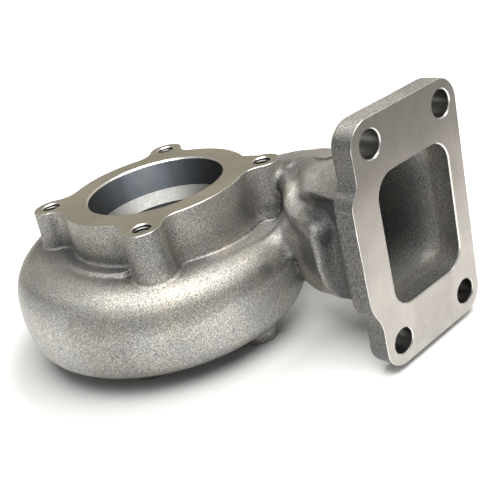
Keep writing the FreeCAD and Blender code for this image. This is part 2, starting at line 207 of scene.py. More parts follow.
# the near side of the neck, station by station: x, then (y, z) from the knee of the top slope down to the floor of the duct.
# 1 knee, 2 lower edge of the slope, 3 and 4 the hollow, 5 crest of the ridge, 6 and 7 wall, 8 and 9 lower corner
NEAR_SIDE = [
    (40, (50.5, 60.2), (44, 55.5), (40.5, 52), (38, 48.5), (36, 44), (35.5, 38), (36, 28), (38.5, 16), (44, 9.4)),
    (48, (46.5, 62.3), (40, 56.5), (36.5, 52.5), (33.5, 48.5), (31, 44), (30.5, 38), (31, 28), (34, 16), (40, 10.5)),
    (60, (40, 65.4), (34.6, 60), (32, 56), (29.6, 52), (26, 46.5), (24.4, 40), (24, 28), (27, 17), (33, 12.5)),
    (70, (34, 69.6), (27, 63.8), (26.2, 60.2), (24.4, 56.5), (20.2, 51), (18.6, 43), (18.6, 30), (21, 20.5), (27, 15)),
    (80, (28, 73.2), (19.6, 67.4), (21.6, 63.4), (19.6, 59.4), (14.6, 54), (13.4, 45), (13.8, 32), (16, 23), (22, 18.5)),
    (88, (24, 76), (15.6, 70.2), (18.4, 66.4), (16.6, 61.2), (10.2, 57), (10.4, 47), (11.2, 34), (13.4, 25.5), (19, 21)),
    (95.5, (21, 77.8), (12.8, 72.0), (16.6, 67.8), (16.0, 61.2), (7.2, 56.8), (6.2, 47), (6.6, 36), (11.4, 27.3), (17, 22)),
    (99.5, (19.5, 78.8), (12.2, 72.2), (16.2, 67.6), (16.2, 60.2), (12.2, 55.0), (10.8, 46), (10.4, 36), (12.2, 28), (17, 22.3)),
    (108, (16, 80.6), (10.9, 72.8), (14.2, 67.4), (14.4, 60), (12.6, 54), (11.6, 46), (11.0, 36), (12, 28.8), (16, 22.8)),
    (118.8, (13.2, 83.6), (9.8, 74), (10.4, 67), (10.6, 60), (10.4, 53), (10.2, 46), (10.3, 36), (12, 29), (15.5, 23))]


def neck_section(xc):
    near, far, bot, top, n = (c(xc) for c in C_NO)
    return near, far, bot, top - 1.5 * smooth(46, 66, xc), n      # the raised pad on the crest keeps the full height


def near_table():
    """Reach of the neck's section from its middle, in 0.25 mm by 0.25 degree steps, 0 degrees at the far side, 90 at the top."""
    xs = np.arange(38.0, 119.01, 0.25)
    th = np.radians(np.arange(0, 360, 0.25))
    cols = [[curve([(st[0], st[k][j]) for st in NEAR_SIDE]) for j in (0, 1)] for k in range(1, 10)]
    out = np.zeros((len(xs), len(th)))
    for i, x in enumerate(xs):
        near, far, bot, top, n = neck_section(np.array(x))
        yc, zc, w, h = (near + far) / 2, (bot + top) / 2, (far - near) / 2, (top - bot) / 2
        full = 1.0 / ((np.abs(np.cos(th)) / w) ** n + (np.abs(np.sin(th)) / h) ** n) ** (1.0 / n)
        xq = max(x, 40.0)
        pts = np.array([(yc + 4, top - 0.02), (yc - 4, top - 0.1)] + [(float(c[0](xq)), float(c[1](xq))) for c in cols]
                       + [(yc - 3, bot + 0.1), (yc + 4, bot + 0.02)])
        fine = []
        for a, b, c, d in zip(pts, pts[1:], pts[2:], pts[3:]):
            for q in np.linspace(0, 1, 12, endpoint=False):
                fine.append(0.5 * ((2 * b) + (c - a) * q + (2 * a - 5 * b + 4 * c - d) * q * q + (3 * b - a - 3 * c + d) * q ** 3))
        fine = np.array(fine + [pts[-2]]) - (yc, zc)
        ang = np.arctan2(fine[:, 1], fine[:, 0]) % (2 * math.pi)
        rho = np.hypot(fine[:, 0], fine[:, 1])
        order = np.argsort(ang)
        mine = np.interp(th, ang[order], rho[order])
        t0 = ang.min()
        mix = smooth(t0, t0 + math.radians(8), th) * smooth(ang.max(), ang.max() - math.radians(8), th)
        mix = mix * smooth(38, 48, np.array(x))
        out[i] = full + (mine - full) * mix
    # take the sharpness off, both ways
    for _ in range(6):
        out = (np.roll(out, 2, 1) + 2 * out + np.roll(out, -2, 1)) / 4
    pad = np.vstack([out[:1]] * 6 + [out] + [out[-1:]] * 6)
    for _ in range(6):
        pad[1:-1] = (pad[:-2] + 2 * pad[1:-1] + pad[2:]) / 4
    return pad[6:-6]


def neck_tube(x, y, z):
    xc = np.clip(x, 0, 118.8)
    near, far, bot, top, n = neck_section(xc)
    yc, zc = (near + far) / 2, (bot + top) / 2
    d = oval(y - yc, z - zc, (far - near) / 2, (top - bot) / 2, n)
    m = (x > 38.5) & (x < 126)
    if m.any():
        u, v = (y - yc)[m], (z - zc)[m]
        rho = np.maximum(np.hypot(u, v), 1e-3)
        fi = np.clip((xc[m] - 38.0) / 0.25, 0, REACH.shape[0] - 1.001)
        fj = (np.degrees(np.arctan2(v, u)) % 360.0) / 0.25
        i, j = fi.astype(int), fj.astype(int)
        fi, fj = fi - i, fj - j
        j, j1 = j % 1440, (j + 1) % 1440
        lo = REACH[i, j] * (1 - fj) + REACH[i, j1] * fj
        hi = REACH[i + 1, j] * (1 - fj) + REACH[i + 1, j1] * fj
        q = lo + (hi - lo) * fi
        slope = (REACH[i, j1] - REACH[i, j]) / math.radians(0.25) / q
        mine = (rho - q) / np.sqrt(1 + slope * slope)
        d[m] = d[m] + (mine - d[m]) * smooth(38.5, 42, x[m])
    return np.maximum(np.maximum(d, -0.5 - x), x - 125), yc


REACH = near_table()


def seg(x, y, z, a, b):
    a, b = np.array(a, float), np.array(b, float)
    e = b - a
    s = np.clip(((x - a[0]) * e[0] + (y - a[1]) * e[1] + (z - a[2]) * e[2]) / e.dot(e), 0, 1)
    return np.sqrt((x - a[0] - e[0] * s) ** 2 + (y - a[1] - e[1] * s) ** 2 + (z - a[2] - e[2] * s) ** 2), s


# a soft rib runs from the root of the right lobe down to the duct's near corner: x, y, z, radius
RIB = [(46, 42, 60, 5.0), (55, 36, 57, 5.2), (62, 29.4, 54.4, 5.2), (69, 24.2, 53.6, 5.0), (77, 19.2, 55.2, 4.6), (85, 14.6, 56.8, 3.9),
       (91, 11.6, 56, 3.2), (95, 9.6, 53.5, 2.5)]


def path(x, y, z, pts):
    best = np.full(x.shape, 1e9)
    for a, b in zip(pts, pts[1:]):
        d, s = seg(x, y, z, a[:3], b[:3])
        best = np.minimum(best, d - (a[3] + (b[3] - a[3]) * s))
    return best


def ripple(x, y, z):
    """The unevenness of the sand mould, 0 to about 0.3 mm, always inwards."""
    q = (np.sin(0.31 * x + 1.7 * np.sin(0.11 * z + 0.4) + 0.9) * np.sin(0.27 * y + 1.3 * np.sin(0.13 * x) + 2.1)
         + np.sin(0.35 * z + 1.1 * np.sin(0.17 * y + 1.0) + 0.3) * 0.7
         + 0.45 * np.sin(0.83 * x + 0.61 * y + 0.7) * np.sin(0.71 * z - 0.52 * x + 1.9)
         + 0.3 * np.sin(1.37 * y - 1.11 * z + 0.2) * np.sin(1.23 * x + 0.9 * z))
    return 0.06 * (q + 2.45)


def passages(x, y, z):
    r = np.hypot(x, y)
    t = (np.degrees(np.arctan2(y, x)) - 90.0) % 360.0
    tt = np.where(t > 341, t - 360, t)
    tc = np.clip(tt, 0, T_END)
    ro = C_RO(tc) - WALL
    top = C_PT(tc)
    d1 = oval(r - (ro + 39) / 2, z - (top + 12.4) / 2, (ro - 39) / 2, (top - 12.4) / 2, 2.6)
    d1 = np.maximum(d1, r * np.radians(tt - T_END))
    d1 = np.maximum(d1, -r * np.radians(tt) - 0.3)
    xc = np.clip(x, 0, 129.6)
    near, far, bot, top, n = (c(xc) for c in C_NI)
    d2 = oval(y - (near + far) / 2, z - (bot + top) / 2, (far - near) / 2, (top - bot) / 2, n)
    d3 = rbox(y - PORT_C[0], z - PORT_C[1], PORT_W / 2, PORT_H / 2, PORT_R)
    d2 = d2 + (d3 - d2) * smooth(112, 122, x)
    d2 = np.maximum(d2, -0.3 - x)
    return smin(d1, d2, 1.5)


def field(p):
    """Below 0 in the iron of the rough casting, before any machining."""
    x, y, z = p[:, 0], p[:, 1], p[:, 2]
    r = np.hypot(x, y)
    az = np.degrees(np.arctan2(y, x)) % 360

    tube = scroll_tube(x, y, z)
    neck, yc = neck_tube(x, y, z)
    k = 9.0 * smooth(12, -6, y - yc) * smooth(-2, 8, x) * (1 - 0.93 * smooth(46, 36, z) * smooth(44, 56, x))
    k = k + 12.0 * smooth(29, 37, z) * smooth(54, 46, z) * smooth(48, 56, x) * smooth(84, 74, x) * smooth(12, -6, y - yc)
    d = smin(tube, neck, k)

    # the hub and the low flange round the centre-housing face
    hub = np.maximum(r - 44.0, z - 60)
    d = np.minimum(d, hub)
    base = rounded(r - 53.0, z - 11.0, 1.6)
    a6 = (az + 30) % 60 - 30
    bx, by = r * np.cos(np.radians(a6)), r * np.sin(np.radians(a6))
    boss = rounded(np.hypot(bx - 51.5, by) - 9.0, z - 11.6, 1.6)
    flange = np.maximum(smin(base, boss, 4.0), -2.5 - z)
    d = fillet(d, flange, 2.2)

    # the low ledge at the foot of the outlet neck, between the left and the front column
    span = smooth(224, 240, az) * smooth(312, 300, az)
    ledge = np.maximum(rounded(r - (42.5 + 9.7 * span), z - 50.6, 1.2), 30 - z)
    d = smin(d, ledge, 2.5)

    # the outlet neck: ring and lobes run down as columns with moulding draft
    col = outlet_2d(x, y) - 0.072 * np.maximum(70 - z, 0)
    col = np.maximum(np.maximum(col, z - 72.5), 28 - z)
    # small root fillets, a wide one where the right lobe runs out into the neck
    out = (x - 35) * 0.673 + (y - 38.5) * 0.739
    root = 1.2 + 7.6 * smooth(3, 9, out) * smooth(67, 58, z) * smooth(28, 34, x) * smooth(22, 30, y)
    d = fillet(d, col, root)

    d = smin(d, path(x, y, z, RIB), 4.0)

    # bare raised pad along the crest of the neck
    xc = np.clip(x, 0, 118.8)
    crest = C_NO[3](xc)
    pad = rounded(np.abs(y - (C_NO[0](xc) + C_NO[1](xc)) / 2 - 2.0) - 6.0, np.abs(z - crest + 2.1) - 2.0, 0.35)
    pad = np.maximum(pad, np.abs(x - 80) - 38)
    d = smin(d, pad, 0.5)

    # the inlet plate, soft at the back, joined to the neck by a cast fillet
    near = x > 100
    plate = np.full(x.shape, 50.0)
    if near.any():
        outl = poly_2d(y[near], z[near], PLATE)
        pl = rounded(outl, (INLET_X - PLATE_T) - x[near], 1.3)
        plate[near] = np.maximum(pl, x[near] - INLET_X - 2.0)
    plate = np.where(near, plate, np.maximum(plate, 108 - x))
    d = fillet(d, plate, 2.8)

    d = d + ripple(x, y, z)
    return np.maximum(d, -passages(x, y, z))


def chunked(p, size=400000):
    return np.concatenate([field(p[i:i + size]) for i in range(0, len(p), size)]) if len(p) else np.zeros(0)


def skin(cell):
    """Closed mesh of the rough casting: one vertex in each cell that the surface crosses, drawn onto the surface."""
    lo = np.array([-84.0, -81.0, -4.2]) + 0.137
    hi = np.array([132.6, 86.5, 108.5])
    n = np.ceil((hi - lo) / cell).astype(int) + 1
    # coarse look for the blocks that the surface comes near
    b = 6
    nb = np.ceil((n - 1) / b).astype(int)
    n = nb * b + 1
    ax = [lo[i] + cell * np.arange(n[i]) for i in range(3)]
    cc = [lo[i] + cell * (b * np.arange(nb[i]) + b / 2) for i in range(3)]
    g = np.stack(np.meshgrid(*cc, indexing="ij"), -1).reshape(-1, 3)
    dc = chunked(g).reshape(nb)
    busy = np.abs(dc) < cell * b * 1.75
    f = np.where(dc[..., None, None, None] < 0, -9.0, 9.0) * np.ones((1, 1, 1, b, b, b))
    f = f.transpose(0, 3, 1, 4, 2, 5).reshape(nb * b)
    full = np.full(n, 9.0)
    full[:-1, :-1, :-1] = f
    # every grid point of a busy block, its far faces too
    need = np.zeros(n, bool)
    for i, j, k in np.argwhere(busy):
        need[i * b:i * b + b + 1, j * b:j * b + b + 1, k * b:k * b + b + 1] = True
    idx = np.argwhere(need)
    pts = np.stack([ax[a][idx[:, a]] for a in range(3)], 1)
    full[need] = chunked(pts)
    inside = full < 0
    inside[0], inside[-1] = False, False
    inside[:, 0], inside[:, -1] = False, False
    inside[:, :, 0], inside[:, :, -1] = False, False
    corners = [(i, j, k) for i in (0, 1) for j in (0, 1) for k in (0, 1)]
    m = n - 1
    count = np.zeros(m, np.int8)
    for i, j, k in corners:
        count += inside[i:i + m[0], j:j + m[1], k:k + m[2]]
    mixed = (count > 0) & (count < 8)
    cells = np.argwhere(mixed)
    ids = np.full(m, -1, np.int64)
    ids[mixed] = np.arange(len(cells))
    acc = np.zeros((len(cells), 3))
    cnt = np.zeros(len(cells))
    for axis in range(3):
        for o1 in (0, 1):
            for o2 in (0, 1):
                off = [o1, o2]
                off.insert(axis, 0)
                a = cells + np.array(off)
                e = np.zeros(3, int)
                e[axis] = 1
                bb = a + e
                fa = full[a[:, 0], a[:, 1], a[:, 2]]
                fb = full[bb[:, 0], bb[:, 1], bb[:, 2]]
                cross = (fa < 0) != (fb < 0)
                s = np.where(cross, fa / np.where(fa == fb, 1, fa - fb), 0)
                q = a + e * s[:, None]
                acc += q * cross[:, None]
                cnt += cross
    v = lo + cell * acc / np.maximum(cnt, 1)[:, None]
    home = lo + cell * (cells + 0.5)
    eps = 0.02
    for _ in range(3):
        fv = chunked(v)
        gr = np.stack([(chunked(v + eps * np.eye(3)[a]) - chunked(v - eps * np.eye(3)[a])) / (2 * eps) for a in range(3)], 1)
        step = fv / np.maximum((gr * gr).sum(1), 0.2)
        step = np.clip(step, -0.5 * cell, 0.5 * cell)
        v = v - gr * step[:, None]
        v = np.clip(v, home - 0.75 * cell, home + 0.75 * cell)
    quads = []
    for axis in range(3):
        e = np.zeros(3, int)
        e[axis] = 1
        a = inside[:n[0] - e[0], :n[1] - e[1], :n[2] - e[2]]
        c = inside[e[0]:, e[1]:, e[2]:]
        for flip, mask in ((False, a & ~c), (True, ~a & c)):
            w = np.argwhere(mask)
            o1, o2 = [i for i in range(3) if i != axis]
            u1 = np.zeros(3, int)
            u1[o1] = 1
            u2 = np.zeros(3, int)
            u2[o2] = 1
            ring = [w - u1 - u2, w - u2, w, w - u1]
            q = np.stack([ids[r[:, 0], r[:, 1], r[:, 2]] for r in ring], 1)
            if (axis == 1) != flip:
                q = q[:, ::-1]
            quads.append(q)
    quads = np.concatenate(quads)
    assert (quads >= 0).all()
    return v, quads


SLOTS = ["cast_skin", "outlet_face", "inlet_face", "bore_wall", "bright_edge", "hole_wall", "base_face", "bore_seat"]
CAST, OUTF, INF, BOREM, EDGE, HOLE, BASEF, SEAT = range(8)


def new_mesh(name, verts, faces, mats, index=None):
    me = bpy.data.meshes.new(name)
    me.from_pydata([tuple(v) for v in verts], [], [tuple(f) for f in faces])
    for m in mats:
        me.materials.append(m)
    if index is not None:
        me.polygons.foreach_set("material_index", np.asarray(index, np.int32))
    me.update()
    return me


def add(name, me):
    o = bpy.data.objects.new(name, me)
    bpy.context.scene.collection.objects.link(o)
    return o


def fast_mesh(name, verts, quads, mats):
    me = bpy.data.meshes.new(name)
    me.vertices.add(len(verts))
    me.vertices.foreach_set("co", np.asarray(verts, np.float32).ravel())
    me.loops.add(quads.size)
    me.loops.foreach_set("vertex_index", quads.astype(np.int32).ravel())
    me.polygons.add(len(quads))
    me.polygons.foreach_set("loop_start", (np.arange(len(quads)) * quads.shape[1]).astype(np.int32))
    me.update(calc_edges=True)
    me.validate()
    for m in mats:
        me.materials.append(m)
    return me


def lathe(name, prof, mats, index, centre=(0, 0), segs=192, axis="z", turn=0.0):
    """A closed solid turned about an axis: prof is (radius, height) from the bottom up, on the axis at both ends."""
    verts, faces, idx = [], [], []
    rings = []
    for r, h in prof:
        if r < 1e-6:
            rings.append([len(verts)])
            verts.append((0, 0, h))
        else:
            rings.append(list(range(len(verts), len(verts) + segs)))
            for i in range(segs):
                a = 2 * math.pi * i / segs + turn
                verts.append((r * math.cos(a), r * math.sin(a), h))
    for s, (a, b) in enumerate(zip(rings, rings[1:])):
        for i in range(segs):
            j = (i + 1) % segs
            if len(a) == 1:
                faces.append((a[0], b[j], b[i]))
            elif len(b) == 1:
                faces.append((a[i], a[j], b[0]))
            else:
                faces.append((a[i], a[j], b[j], b[i]))
            idx.append(index[s])
    v = np.array(verts, float)
    if axis == "x":
        v = v[:, [2, 0, 1]]
        v[:, 1] += centre[0]
        v[:, 2] += centre[1]
    else:
        v[:, 0] += centre[0]
        v[:, 1] += centre[1]
    return add(name, new_mesh(name, v * MM, faces, mats, idx))


def offset_ring(pts, d):
    """The outline moved outwards by d, point by point."""
    p = np.asarray(pts, float)
    keep = np.hypot(*(p - np.roll(p, 1, axis=0)).T) > 1e-6
    p = p[keep]
    e = np.roll(p, -1, axis=0) - p
    e /= np.hypot(e[:, 0], e[:, 1])[:, None]
    nrm = np.stack([e[:, 1], -e[:, 0]], 1)
    nv = nrm + np.roll(nrm, 1, axis=0)
    nv /= (nv * nv).sum(1)[:, None] / 2.0
    return p + nv * d


def bevel_ring(name, outline, mats, face_at, bevel, axis, far=6.0):
    """Cuts a bevel along an outer outline: a ring whose inner wall slants, round a face that looks along the axis."""
    rings = [(offset_ring(outline, 0.25), face_at - bevel - 0.25), (offset_ring(outline, -bevel - 0.3), face_at + 0.3),
             (offset_ring(outline, far), face_at + 0.3), (offset_ring(outline, far), face_at - bevel - 0.25)]
    n = len(rings[0][0])
    verts = []
    for pts, h in rings:
        for u, v in pts:
            verts.append((u, v, h) if axis == "z" else (h, u, v))
    faces, idx = [], []
    for k in range(4):
        a, b = k * n, ((k + 1) % 4) * n
        for i in range(n):
            j = (i + 1) % n
            faces.append((a + i, b + i, b + j, a + j))
            idx.append(EDGE)
    me = new_mesh(name, np.array(verts) * MM, faces, mats, idx)
    return add(name, me)


def block(name, lo, hi, mats, index):
    v = [(x, y, z) for x in (lo[0], hi[0]) for y in (lo[1], hi[1]) for z in (lo[2], hi[2])]
    f = [(0, 1, 3, 2), (4, 6, 7, 5), (0, 4, 5, 1), (2, 3, 7, 6), (0, 2, 6, 4), (1, 5, 7, 3)]
    return add(name, new_mesh(name, np.array(v) * MM, f, mats, [index] * 6))


def outward(o):
    """Turns a closed mesh's faces outwards."""
    import bmesh
    bm = bmesh.new()
    bm.from_mesh(o.data)
    bmesh.ops.recalc_face_normals(bm, faces=bm.faces)
    if bm.calc_volume(signed=True) < 0:
        bmesh.ops.reverse_faces(bm, faces=bm.faces)
    bm.to_mesh(o.data)
    bm.free()


def solid_mesh(o):
    dg = bpy.context.evaluated_depsgraph_get()
    dg.update()
    return bpy.data.meshes.new_from_object(o.evaluated_get(dg), preserve_all_data_layers=True, depsgraph=dg)


def outlet_points(n=12):
    """The outlet face's outline as points, anticlockwise."""
    c = ((RING_R + LOBE_FILLET) ** 2 + LOBE_AT ** 2 - (LOBE_R + LOBE_FILLET) ** 2) / (2 * (RING_R + LOBE_FILLET) * LOBE_AT)
    fa = math.acos(c)
    fx, fy = (RING_R + LOBE_FILLET) * math.cos(fa), (RING_R + LOBE_FILLET) * math.sin(fa)
    to_lobe = math.atan2(0 - fy, LOBE_AT - fx)
    to_axis = math.atan2(-fy, -fx)
    at_lobe = math.atan2(fy, fx - LOBE_AT)
    out = []
    half = []
    for i in range(n + 1):                      # the lobe, from its tip round to the fillet
        a = at_lobe * i / n
        half.append((LOBE_AT + LOBE_R * math.cos(a), LOBE_R * math.sin(a)))
    while to_axis > to_lobe:
        to_axis -= 2 * math.pi
    for i in range(1, n + 1):                   # the fillet, back to the ring
        a = to_lobe + (to_axis - to_lobe) * i / n
        half.append((fx + LOBE_FILLET * math.cos(a), fy + LOBE_FILLET * math.sin(a)))
    for i in range(1, n + 1):                   # the ring, to halfway between two lobes
        a = fa + (math.pi / 4 - fa) * i / n
        half.append((RING_R * math.cos(a), RING_R * math.sin(a)))
    lobe = [(x, -y) for x, y in reversed(half[1:-1])] + half
    for k in range(4):
        a = math.radians(LOBE_A0 + 90 * k)
        out += [(x * math.cos(a) - y * math.sin(a), x * math.sin(a) + y * math.cos(a)) for x, y in lobe]
    return np.array(out)


# ---------------------------------------------------------------- materials
def mat_nodes(name):
    m = bpy.data.materials.new(name)
    m.use_nodes = True
    nt = m.node_tree
    nt.nodes.clear()
    out = nt.nodes.new("ShaderNodeOutputMaterial")
    bs = nt.nodes.new("ShaderNodeBsdfPrincipled")
    nt.links.new(bs.outputs[0], out.inputs[0])
    tc = nt.nodes.new("ShaderNodeTexCoord")
    return m, nt, bs, tc


def noise(nt, vec, scale, detail=3.0, rough=0.55, distort=0.0):
    n = nt.nodes.new("ShaderNodeTexNoise")
    n.inputs["Scale"].default_value = scale
    n.inputs["Detail"].default_value = detail
    n.inputs["Roughness"].default_value = rough
    n.inputs["Distortion"].default_value = distort
    nt.links.new(vec, n.inputs["Vector"])
    return n.outputs["Fac"]


def ramp(nt, fac, stops):
    r = nt.nodes.new("ShaderNodeValToRGB")
    el = r.color_ramp.elements
    while len(el) > len(stops):
        el.remove(el[-1])
    while len(el) < len(stops):
        el.new(0.5)
    for e, (p, c) in zip(el, stops):
        e.position = p
        e.color = (c[0], c[1], c[2], 1.0) if isinstance(c, (tuple, list)) else (c, c, c, 1.0)
    nt.links.new(fac, r.inputs[0])
    return r.outputs[0]


def math_node(nt, op, a, b=None, c=None):
    n = nt.nodes.new("ShaderNodeMath")
    n.operation = op
    for i, q in enumerate((a, b, c)):
        if q is None:
            continue
        if isinstance(q, (int, float)):
            n.inputs[i].default_value = q
        else:
            nt.links.new(q, n.inputs[i])
    return n.outputs[0]


def mix_rgb(nt, fac, a, b, mode="MIX"):
    n = nt.nodes.new("ShaderNodeMix")
    n.data_type = "RGBA"
    n.blend_type = mode
    if isinstance(fac, (int, float)):
        n.inputs[0].default_value = fac
    else:
        nt.links.new(fac, n.inputs[0])
    for i, q in ((6, a), (7, b)):
        if isinstance(q, tuple):
            n.inputs[i].default_value = (*q, 1.0)
        else:
            nt.links.new(q, n.inputs[i])
    return n.outputs[2]


def bump(nt, bs, height, distance, strength=1.0, normal=None):
    b = nt.nodes.new("ShaderNodeBump")
    b.inputs["Strength"].default_value = strength
    b.inputs["Distance"].default_value = distance
    nt.links.new(height, b.inputs["Height"])
    if normal is not None:
        nt.links.new(normal, b.inputs["Normal"])
    if bs is not None:
        nt.links.new(b.outputs[0], bs.inputs["Normal"])
    return b.outputs[0]


def mapping(nt, vec, scale):
    m = nt.nodes.new("ShaderNodeMapping")
    m.inputs["Scale"].default_value = scale
    nt.links.new(vec, m.inputs["Vector"])
    return m.outputs[0]


def cast_iron():
    m, nt, bs, tc = mat_nodes("cast_iron_skin")
    obj = tc.outputs["Object"]
    fine = noise(nt, obj, 3400, 2.0, 0.6)
    grain = noise(nt, obj, 1650, 3.0, 0.6)
    blotch = noise(nt, obj, 60, 4.0, 0.55)
    big = noise(nt, obj, 14, 3.0, 0.5)
    base = ramp(nt, grain, [(0.30, (0.145, 0.142, 0.136)), (0.50, (0.315, 0.307, 0.290)), (0.70, (0.56, 0.545, 0.505))])
    tint = ramp(nt, blotch, [(0.3, (0.86, 0.88, 0.92)), (0.7, (1.06, 1.02, 0.95))])
    base = mix_rgb(nt, 1.0, base, tint, "MULTIPLY")
    tone = ramp(nt, big, [(0.3, (0.92, 0.92, 0.93)), (0.7, (1.05, 1.04, 1.02))])
    base = mix_rgb(nt, 1.0, base, tone, "MULTIPLY")
    # painted shade and painted highlight from a per-vertex tone: the skin is darkened in corners, creases and recesses
    # and brightened above its own colour where light is painted
    at = nt.nodes.new("ShaderNodeAttribute")
    at.attribute_name = "painted_light_and_shade"
    painted_shade_and_highlight = ramp(nt, at.outputs["Fac"], [(0.15, (0.22, 0.225, 0.245)), (0.43, (0.54, 0.55, 0.565)), (0.70, (1.0, 1.0, 1.0)), (0.85, (1.0, 1.0, 1.0)), (1.0, (1.5, 1.54, 1.6))])
    base = mix_rgb(nt, 1.0, base, painted_shade_and_highlight, "MULTIPLY")
    nt.links.new(base, bs.inputs["Base Color"])
    bs.inputs["Metallic"].default_value = 0.85
    rough = ramp(nt, grain, [(0.3, 0.62), (0.7, 0.42)])
    nt.links.new(rough, bs.inputs["Roughness"])
    b1 = bump(nt, None, grain, 0.00022, 0.8)
    bump(nt, bs, fine, 0.00008, 0.6, b1)
    return m


def machined(name, base, rough, metallic, mode):
    """Machined iron with faint tool marks: rings round the axis, strokes along Z, or turned lines round a bore."""
    m, nt, bs, tc = mat_nodes(name)
    obj = tc.outputs["Object"]
    sep = nt.nodes.new("ShaderNodeSeparateXYZ")
    nt.links.new(obj, sep.inputs[0])
    x, y, z = sep.outputs
    if mode == "rings":
        rr = math_node(nt, "SQRT", math_node(nt, "ADD", math_node(nt, "MULTIPLY", x, x), math_node(nt, "MULTIPLY", y, y)))
        comb = nt.nodes.new("ShaderNodeCombineXYZ")
        nt.links.new(rr, comb.inputs[0])
        marks = noise(nt, mapping(nt, comb.outputs[0], (3200, 1, 1)), 1.0, 2.0, 0.6)
    elif mode == "strokes":
        marks = noise(nt, mapping(nt, obj, (200, 1800, 60)), 1.0, 2.0, 0.6)
    else:
        comb = nt.nodes.new("ShaderNodeCombineXYZ")
        nt.links.new(z, comb.inputs[2])
        marks = noise(nt, mapping(nt, comb.outputs[0], (1, 1, 2600)), 1.0, 2.0, 0.6)
    blot = noise(nt, obj, 38, 4.0, 0.6, 0.4)
    fine = noise(nt, obj, 700, 2.0, 0.5)
    c = ramp(nt, blot, [(0.3, tuple(q * 0.80 for q in base)), (0.7, tuple(min(1, q * 1.12) for q in base))])
    c = mix_rgb(nt, 1.0, c, ramp(nt, marks, [(0.3, 0.93), (0.7, 1.0)]), "MULTIPLY")
    if mode == "bore":
        # painted highlight on the far left of the bore wall, with painted shade falling off to both sides
        turn = math_node(nt, "ADD", math_node(nt, "MULTIPLY", x, -27.6), math_node(nt, "MULTIPLY", y, 12.3))
        c = mix_rgb(nt, 1.0, c, ramp(nt, math_node(nt, "ADD", math_node(nt, "MULTIPLY", turn, 0.5), 0.5), [(0.64, (0.145, 0.14, 0.125)), (0.78, (0.26, 0.255, 0.235)), (0.883, (0.46, 0.46, 0.45)), (0.957, (0.92, 0.925, 0.94)), (1.0, (1.90, 1.90, 1.90))]), "MULTIPLY")
    if mode == "strokes":
        # painted reflection of the floor: the inlet face is lighter towards the bottom and darker towards the top
        fade = ramp(nt, math_node(nt, "MULTIPLY", z, 9.0), [(0.0, (1.72, 1.74, 1.76)), (0.25, (1.42, 1.42, 1.42)), (0.5, (1.10, 1.09, 1.08)), (0.66, (0.86, 0.84, 0.82)), (0.8, (0.54, 0.53, 0.52)), (1.0, (0.44, 0.43, 0.42))])
        c = mix_rgb(nt, 1.0, c, fade, "MULTIPLY")
    nt.links.new(c, bs.inputs["Base Color"])
    bs.inputs["Metallic"].default_value = metallic
    r = ramp(nt, fine, [(0.3, rough - 0.05), (0.7, rough + 0.06)])
    nt.links.new(r, bs.inputs["Roughness"])
    b1 = bump(nt, None, marks, 0.00002, 0.5)
    bump(nt, bs, fine, 0.00002, 0.5, b1)
    return m


MATS = [
    cast_iron(),
    machined("machined_outlet_face", (0.43, 0.40, 0.325), 0.34, 0.9, "rings"),
    machined("machined_inlet_face", (0.262, 0.245, 0.228), 0.32, 0.9, "strokes"),
    machined("turned_bore", (0.50, 0.54, 0.61), 0.44, 0.95, "bore"),
    machined("bright_edge", (0.62, 0.61, 0.58), 0.28, 0.9, "turned"),
    machined("drilled_hole", (0.125, 0.123, 0.118), 0.34, 0.95, "turned"),
    machined("machined_base_face", (0.46, 0.43, 0.38), 0.38, 0.9, "rings"),
    machined("turned_seat", (0.185, 0.184, 0.176), 0.5, 0.95, "turned"),
]

# ---------------------------------------------------------------- the casting
verts, quads = skin(CELL)
rough_me = fast_mesh("rough_casting", verts * MM, quads, MATS)
rough_ob = add("rough_casting", rough_me)
tris = len(quads) * 2
if tris > BUDGET:
    dec = rough_ob.modifiers.new("thin", "DECIMATE")
    dec.ratio = BUDGET / tris
    dec.use_collapse_triangulate = True
    rough_me = solid_mesh(rough_ob)
    rough_ob.modifiers.clear()
    rough_ob.data = rough_me

cutters = []
cutters.append(block("cut_outlet", (-75, -75, BODY_Z), (50, 75, BODY_Z + 8), MATS, OUTF))
cutters.append(bevel_ring("cut_outlet_edge", outlet_points(), MATS, BODY_Z, 0.32, "z", 1.6))
cutters.append(block("cut_inlet", (INLET_X, -8, -6), (INLET_X + 8, 76, 112), MATS, INF))
cutters.append(bevel_ring("cut_inlet_edge", PLATE, MATS, INLET_X, 0.32, "x", 2.5))
cutters.append(block("cut_base", (-90, -90, -8), (100, 90, 0), MATS, BASEF))
bore_idx = [BASEF, BASEF, EDGE, BOREM, BASEF, BOREM, BOREM, BOREM, BOREM, BOREM, BOREM, BOREM, BOREM, SEAT, BOREM, EDGE, EDGE, EDGE]
cutters.append(lathe("cut_bore", BORE, MATS, bore_idx, segs=256))
for k in range(4):
    a = math.radians(LOBE_A0 + 90 * k)
    prof = [(0, 55.4), (4.25, 57), (4.25, 69.5), (4.75, 70), (4.75, 72), (0, 72)]
    cutters.append(lathe("cut_outlet_hole_%d" % k, prof, MATS, [HOLE, HOLE, EDGE, EDGE, EDGE], (LOBE_AT * math.cos(a), LOBE_AT * math.sin(a)), 64))
for dy in (-21, 21):
    for dz in (-41.5, 41.5):
        prof = [(0, 100.5), (5.45, 103.6), (5.45, 128.15), (5.9, 128.6), (5.9, 131), (0, 131)]
        cutters.append(lathe("cut_inlet_hole_%d_%d" % (dy, dz), prof, MATS, [HOLE, HOLE, EDGE, EDGE, EDGE], (33.6 + dy, 54.8 + dz), 72, "x"))
for k in range(6):
    a = math.radians(60 * k)
    prof = [(0, -3), (4.3, -3), (4.3, 0), (3.4, 0.9), (3.4, 10), (0, 11.6)]
    cutters.append(lathe("cut_base_hole_%d" % k, prof, MATS, [EDGE, EDGE, EDGE, HOLE, HOLE], (51.5 * math.cos(a), 51.5 * math.sin(a)), 40))


